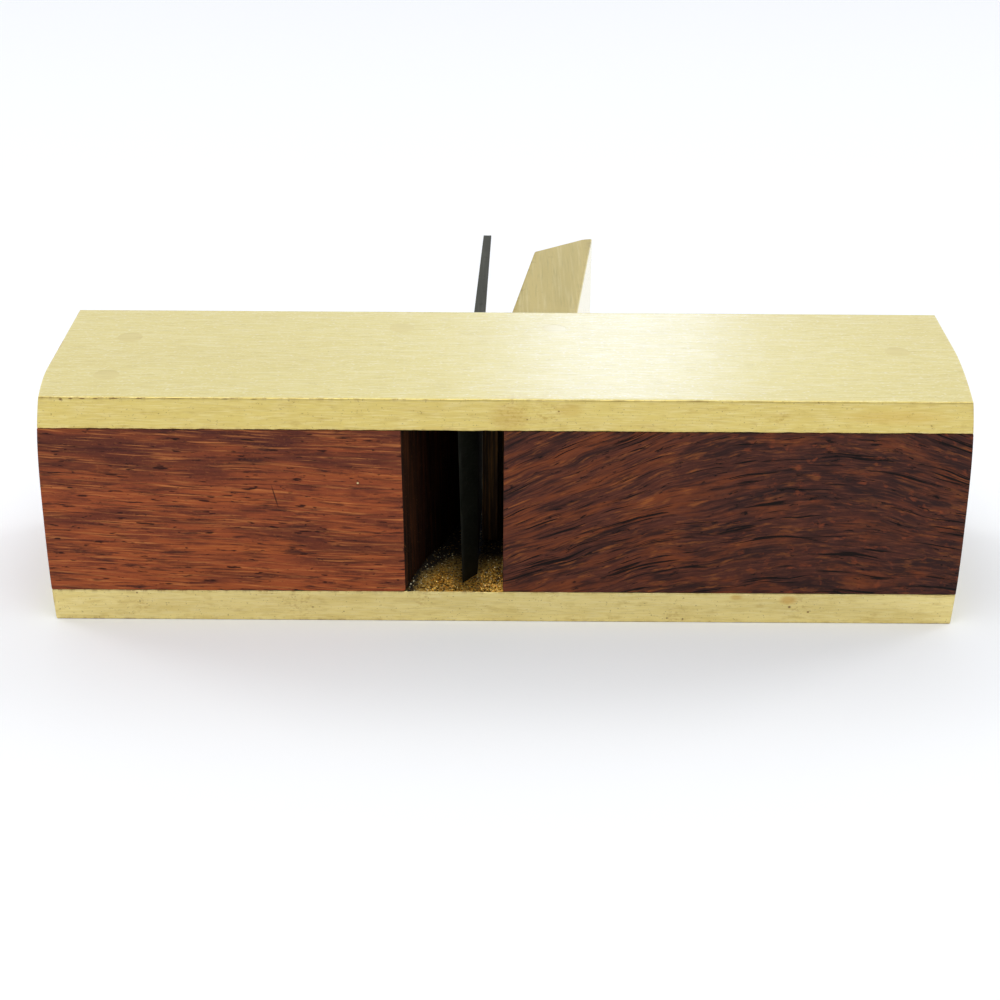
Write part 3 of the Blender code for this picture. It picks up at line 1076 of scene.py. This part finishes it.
@dataclass
class Iron:
    """The tapered iron with its ground bevel, thinner towards its top."""

    node: str = "blade"
    body: str = "iron"
    heel_thickness: float = 2.15
    bevel_height: float = 2.49
    top_thickness: float = 1.25
    edge_thickness: float = 0.05
    skew: float = 0.27
    skew_height: float = 9.0
    settled: float = 0.2
    honed_strip: float = 0.4
    polished_from: float = 28.5
    grinding_hollow: float = 0.05
    arris: float = 0.09
    arris_reach: float = 0.2

    def build(self) -> Piece:
        """Make the iron and let it stand for its CAD node.

        Returns:
            The finished piece.
        """
        low, high = node_box(self.node)
        low[2] -= self.settled
        edge_x, top_x = low[0], high[0]
        thick = self.heel_thickness
        bevel = low[1] + self.bevel_height
        fine = np.arange(low[1] + 0.2, bevel + 2.0, 0.24)
        heights = np.unique(np.concatenate([graded(low[1], high[1], 1.5, self.arris), fine, [bevel]]))
        through = np.array([0, 0.04, 0.09, 0.35, 0.7, 1.05, 1.4, 1.8, 2.06, 2.11, 2.15])
        across = graded(low[2], high[2], 0.7, self.arris)
        points, faces, near = eased_block((through, heights, across), self.arris, self.arris_reach)
        share = points[:, 0] / thick
        height = points[:, 1]
        across = (points[:, 2] - low[2]) / (high[2] - low[2]) * 2 - 1
        rise = (height - low[1]) / (high[1] - low[1])
        skewed = -self.skew * across * np.clip(1 - (height - low[1]) / self.skew_height, 0, 1) ** 1.5
        front = edge_x + rise * (top_x - self.top_thickness - edge_x) + skewed
        rear_line = edge_x + thick + (height - bevel) / (high[1] - bevel) * (top_x - edge_x - thick)
        ground = np.clip((height - low[1]) / self.bevel_height, 0, 1)
        edge_rear = edge_x + skewed + self.edge_thickness
        hollow = self.grinding_hollow * np.sin(math.pi * ground)
        rear = np.where(height < bevel, edge_rear + ground * (edge_x + thick - edge_rear) - hollow, rear_line)
        points[:, 0] = front + share * (rear - front)
        on_bevel = ((height < bevel + 0.05) & (share > 0.5)) * 1.0
        iron = make_piece(
            "tapered_iron", points, faces, Steel.HARDENED.value, self.body,
            {
                "arris": near,
                "ground": on_bevel * (height < low[1] + self.honed_strip),
                # painted shade inside the throat, a little less on the bevel
                "inside": inside_body(height - SOLE_Y) * (1 - 0.45 * on_bevel),
                "polished": 1.0 * ((share > 0.98) & (height > low[1] + self.polished_from)),
            },
        )
        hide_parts(self.node)
        return iron


@dataclass
class Wedge:
    """The brass wedge: thin tip, long bearing face, parallel shank and slanted, struck head."""

    node: str = "wedge"
    body: str = "wedge"
    tip_thickness: float = 2.05
    head_depth: float = 9.15
    head_drop: float = 6.6
    crest_back: float = 1.51
    crest_drop: float = 0.2
    shank_lean: float = 5.7
    bearing_lean: float = 26.07
    face_lean: float = 7.471
    arris: float = 0.24
    arris_reach: float = 0.35

    def build(self) -> Piece:
        """Make the wedge and let it stand for its CAD node.

        Returns:
            The finished piece.
        """
        low, high = node_box(self.node)
        depth = self.head_depth
        length = high[1] - low[1]
        sides = ((0.0, depth, 0.6), (0.0, length, 1.2), (low[2], high[2], 0.8))
        grid = [graded(*side, self.arris) for side in sides]
        points, faces, near = eased_block(grid, self.arris, self.arris_reach)
        dents = np.maximum(rumple(points, 1.5, 21), 0) * near ** 2 * 0.06
        points += np.sign(points.mean(axis=0) - points) * (dents / 2)[:, None]
        share = points[:, 0] / depth
        crest = 1 - self.crest_back / depth
        top = np.interp(share, [0.0, crest, 1.0], [length - self.head_drop, length - self.crest_drop, length])
        rise = points[:, 1] / length * top
        front = low[0] + rise * math.tan(math.radians(self.face_lean))
        bearing = low[0] + self.tip_thickness + rise * math.tan(math.radians(self.bearing_lean))
        shank = high[0] - (length - rise) * math.tan(math.radians(self.shank_lean))
        rear = np.minimum(bearing, shank)
        shaped = np.stack([front + share * (rear - front), low[1] + rise, points[:, 2]], axis=1)
        wedge = make_piece(
            "brass_wedge", shaped, faces, Brass.FILED.value, self.body,
            # painted shade: the wedge darkens where it is inside the throat
            {"arris": near, "inside": inside_body(low[1] + rise - SOLE_Y), "polished": 1.0 * (share > 0.98)},
        )
        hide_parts(self.node)
        return wedge


@dataclass
class Filings:
    """Brass dust and chips caught in the throat, heaped on the lower cheek's inner face.

    The heap leans on the front wall and thins out to a film before the iron, so the iron and
    the wedge slide clear of it. Behind the iron lies a shallower one.
    """

    body: Body
    count: int = 7500
    chip: float = 0.15
    shrunk: float = 0.42
    depth: float = 13.2
    rear_depth: float = 9.4
    heap_thickness: float = 0.9
    film: float = 0.04
    film_reach: float = 28.0
    brow: float = -5.6
    iron_edge: float = -6.5
    iron_rear: float = -3.25
    rear_thickness: float = 0.75
    glints: int = 300
    wall_foot: float = -12.6
    wall_lean: float = FRONT_LEAN
    rear_foot: float = -0.35
    rear_lean: float = REAR_LEAN
    clearance: float = 0.12
    seed: int = 11

    def walls(self, height: np.ndarray) -> tuple[np.ndarray, np.ndarray]:
        """Give the X of the front and the rear wall's foot at each height above the sole.

        Args:
            height: heights above the sole.

        Returns:
            The front wall's and the rear wall's X.
        """
        front = self.wall_foot + self.clearance + height * math.tan(math.radians(self.wall_lean))
        rear = self.rear_foot - self.clearance + height * math.tan(math.radians(self.rear_lean))
        return front, rear

    def thickness(self, along: np.ndarray, height: np.ndarray) -> np.ndarray:
        """Give how thick the dust lies.

        Args:
            along: X of each place.
            height: its height above the sole.

        Returns:
            One thickness for each place.
        """
        front = self.walls(height)[0]
        past_wall = np.clip((along - front) / np.maximum(self.iron_edge - front, 0.3), 0, 1)
        rise = np.clip(height / 2.5, 0, 1) * np.clip((self.depth - height) / 5.0, 0, 1)
        heap = self.heap_thickness * rise * (1 - past_wall) ** 1.3
        behind = np.clip((along - self.iron_rear) / 1.6, 0, 1)
        behind *= np.clip((self.rear_depth - height) / 4.0, 0, 1)
        return self.film + heap + self.rear_thickness * np.clip(height / 1.5, 0, 1) * behind

    def build(self) -> Piece:
        """Scatter the chips over the heap.

        Returns:
            The finished piece.
        """
        rng = np.random.default_rng(self.seed)
        floor = node_box("lower_cheek")[1][2]
        sole = self.body.low[1]
        height = 0.12 + (self.depth - 0.12) * rng.random(self.count) ** 1.15
        front, rear = self.walls(height)
        along = front + (rear - front) * rng.random(self.count) ** 1.2
        edge = np.where(along < self.iron_edge, self.depth - 1.5 * (along - front), self.rear_depth)
        edge = np.clip(edge + 0.7 * rng.normal(size=self.count), 0.5, None)
        height = np.where(height < edge, height, edge * rng.random(self.count) ** 1.15)
        height = np.clip(height, 0.12, None)
        front, rear = self.walls(height)
        along = np.clip(along, front, rear)
        base = floor + self.thickness(along, height)
        under_iron = (along > self.iron_edge) & (along < self.iron_rear)
        top = np.where(under_iron, floor + 0.08, floor + 3.0)
        corner = np.array([(1, 0, 0), (-1, 0, 0), (0, 1, 0), (0, -1, 0), (0, 0, 1), (0, 0, -1)], float)
        sides = [(0, 2, 4), (2, 1, 4), (1, 3, 4), (3, 0, 4), (2, 0, 5), (1, 2, 5), (3, 1, 5), (0, 3, 5)]
        points, faces = [], []
        for number in range(self.count):
            size = self.chip * (0.35 + 0.75 * rng.random()) * rng.uniform(0.4, 1.0, 3)
            turn = Matrix.Rotation(rng.uniform(0, math.tau), 3, Vector(rng.normal(size=3)).normalized())
            chip = (corner * size) @ np.array(turn)
            chip += (along[number], sole + height[number], base[number] + 0.03 * rng.random())
            if under_iron[number]:
                middle = (along[number], sole + height[number], base[number] + 0.01)
                chip = middle + self.shrunk * (chip - middle)
            chip[:, 2] = np.clip(chip[:, 2], floor + 0.002, top[number])
            faces += [tuple(6 * number + c for c in side) for side in sides]
            points.append(chip)
        placed = np.concatenate(points)
        glint = np.repeat(np.arange(self.count) % (self.count // self.glints) == 0, len(corner))
        return make_piece(
            "throat_filings", placed, faces, Brass.FILINGS.value, self.body.name,
            # painted shade on the chips, from shade()
            {"inside": self.shade(placed[:, 0], placed[:, 1] - sole), "glint": glint},
        )

    def shade(self, along: np.ndarray, height: np.ndarray) -> np.ndarray:
        """Say how much painted shade the dust gets: none at the mouth, black far in and by the front wall.

        Args:
            along: X of each place.
            height: its height above the sole.

        Returns:
            One value for each place.
        """
        past_wall = along - self.walls(height)[0]
        deep = np.clip((height - 3.5) / 7.0, 0, 1)
        by_wall = np.clip(1.15 - past_wall / 2.2, 0, 1)
        return np.clip(deep + by_wall, 0, 1)

    def heap(self) -> Piece:
        """Make the settled dust under the chips, which thins to a film deep in the throat, where it is
        painted dark as shade.

        Returns:
            The finished piece.
        """
        floor = node_box("lower_cheek")[1][2]
        sole = self.body.low[1]
        points, faces = lattice((np.linspace(0, 1, 90), np.linspace(0, 1, 80) ** 1.4, (0.0, 1.0)))
        height = 0.05 + points[:, 1] * self.film_reach
        front, rear = self.walls(height)
        front = np.minimum(front, self.brow)
        along = front + points[:, 0] * (rear - front)
        grain = 0.06 * rumple(np.stack([along, height, 0 * height], axis=1), 0.45, 31)
        clear = (along < self.iron_edge) | (along > self.iron_rear)
        lift = np.maximum(self.thickness(along, height) + grain * clear, 0.02)
        placed = np.stack([along, sole + height, floor + 0.005 + points[:, 2] * lift], axis=1)
        return make_piece(
            "dust_heap", placed, faces, Brass.FILINGS.value, self.body.name,
            {"inside": self.shade(along, height)},
        )


# ---------------------------------------------------------------- studio


@dataclass
class Studio:
    """Plain pale floor, soft light from behind and above, and the camera."""

    camera_place: tuple[float, float, float] = (-0.83, -236.8, 122.2)
    pitch_down: float = 25.4
    roll: float = 0.35
    focal_length: float = 71.68
    sensor: float = 36.0
    front_glow: float = 0.36
    back_glow: float = 0.86
    dim_towards: float = -0.3
    bright_towards: float = 0.5

    def build(self) -> None:
        """Set the floor, the world, the lights and the camera."""
        self.floor()
        self.world()
        glow = self.softbox("glow_lamp", (80, 1000, 418), (15, 0, 30), 120, 120, 0.34, "b0c6ff")
        self.shaded(glow, ("tapered_iron", "lower_cheek_plate"))
        self.softbox("left_softbox", (-760, 420, 560), (0, 0, 20), 300, 260, 1.4)
        self.softbox("right_softbox", (760, 420, 560), (0, 0, 20), 300, 260, 1.4)
        self.softbox("top_softbox", (0, -260, 900), (0, 0, 10), 900, 700, 5.1)
        self.camera()
        view = bpy.context.scene.view_settings
        view.view_transform = "Standard"
        view.look = "None"

    def floor(self) -> None:
        """A wide matt sheet that the plane lies on."""
        bpy.ops.mesh.primitive_plane_add(size=8.0)
        sheet = bpy.context.object
        sheet.name = "paper_floor"
        paper = bpy.data.materials.new("white_paper")
        paper.use_nodes = True
        shader = paper.node_tree.nodes["Principled BSDF"]
        shader.inputs["Base Color"].default_value = srgb("f2f4f7")
        shader.inputs["Roughness"].default_value = 0.9
        sheet.data.materials.append(paper)

    def world(self) -> None:
        """A soft surround, bright behind the plane and dim in front of it."""
        world = bpy.data.worlds.new("pale_surround")
        world.use_nodes = True
        tree = world.node_tree
        direction = add_node(tree, "ShaderNodeTexCoord").outputs["Generated"]
        axes = add_node(tree, "ShaderNodeSeparateXYZ", {0: direction})
        limits = {1: self.dim_towards, 2: self.bright_towards, 3: self.front_glow, 4: self.back_glow}
        limits[0] = axes.outputs[1]
        glow = add_node(tree, "ShaderNodeMapRange", limits, interpolation_type="SMOOTHSTEP")
        tree.links.new(glow.outputs[0], tree.nodes["Background"].inputs["Strength"])
        tree.nodes["Background"].inputs["Color"].default_value = srgb("ffffff")
        bpy.context.scene.world = world

    def softbox(
        self, name: str, place: tuple, target: tuple, width: float, height: float, power: float,
        colour: str = "ffffff",
    ) -> Piece:
        """Hang a rectangular softbox.

        Args:
            name: the light's name.
            place: where it hangs, in millimetres.
            target: the point it faces.
            width: its width.
            height: its height.
            power: its power in watts.
            colour: the light's colour; a cool one keeps its highlight white on yellow brass.

        Returns:
            The lamp.
        """
        light = bpy.data.lights.new(name, "AREA")
        light.shape = "RECTANGLE"
        light.size = width * MM
        light.size_y = height * MM
        light.energy = power
        light.color = srgb(colour)[:3]
        lamp = bpy.data.objects.new(name, light)
        lamp.location = Vector(place) * MM
        lamp.rotation_euler = (Vector(target) - Vector(place)).to_track_quat("-Z", "Y").to_euler()
        bpy.context.scene.collection.objects.link(lamp)
        return lamp

    def shaded(self, lamp: Piece, names: Sequence[str]) -> None:
        """Keep one lamp off some pieces, as a small black card would.

        Args:
            lamp: the lamp.
            names: the pieces' names.
        """
        card = bpy.data.collections.new("carded_off")
        for name in names:
            card.objects.link(bpy.data.objects[name])
        for shaded in card.collection_objects:
            shaded.light_linking.link_state = "EXCLUDE"
        lamp.light_linking.receiver_collection = card

    def camera(self) -> None:
        """Look along +Y and down at the sole."""
        lens = bpy.data.cameras.new("camera")
        lens.sensor_width = self.sensor
        lens.lens = self.focal_length
        lens.clip_start = 0.01
        lens.clip_end = 50.0
        camera = bpy.data.objects.new("camera", lens)
        tilt = Matrix.Rotation(math.radians(90 - self.pitch_down), 4, "X")
        roll = Matrix.Rotation(math.radians(self.roll), 4, "Z")
        camera.matrix_world = Matrix.Translation(Vector(self.camera_place) * MM) @ tilt @ roll
        bpy.context.scene.collection.objects.link(camera)
        bpy.context.scene.camera = camera


def main() -> None:
    """Build and dress every piece, then the studio."""
    body = Body()
    parts = [
        Cheek(body, "lower_cheek", LOWER_STAINS, seed=3),
        Cheek(body, "upper_cheek", UPPER_STAINS, edge_shade=True, seed=8),
        Infill(body, "toe_infill", Rosewood.RED.value, "red_rosewood", FRONT_LEAN, 1.63, 22.32, -0.3),
        Infill(body, "heel_infill", Rosewood.DARK.value, "dark_rosewood", REAR_LEAN, rim_shift=-0.19),
        *(Rod(body, node) for node in body.rod_places()),
        Iron(),
        Wedge(),
        Filings(body),
    ]
    for part in parts:
        piece = part.build()
        LOG.info("built %s: %d faces", piece.name, len(piece.data.polygons))
    heap = Filings(body).heap()
    LOG.info("built %s: %d faces", heap.name, len(heap.data.polygons))
    Studio().build()


if __name__ == "__main__":
    logging.basicConfig(level=logging.INFO, format="%(message)s")
    main()
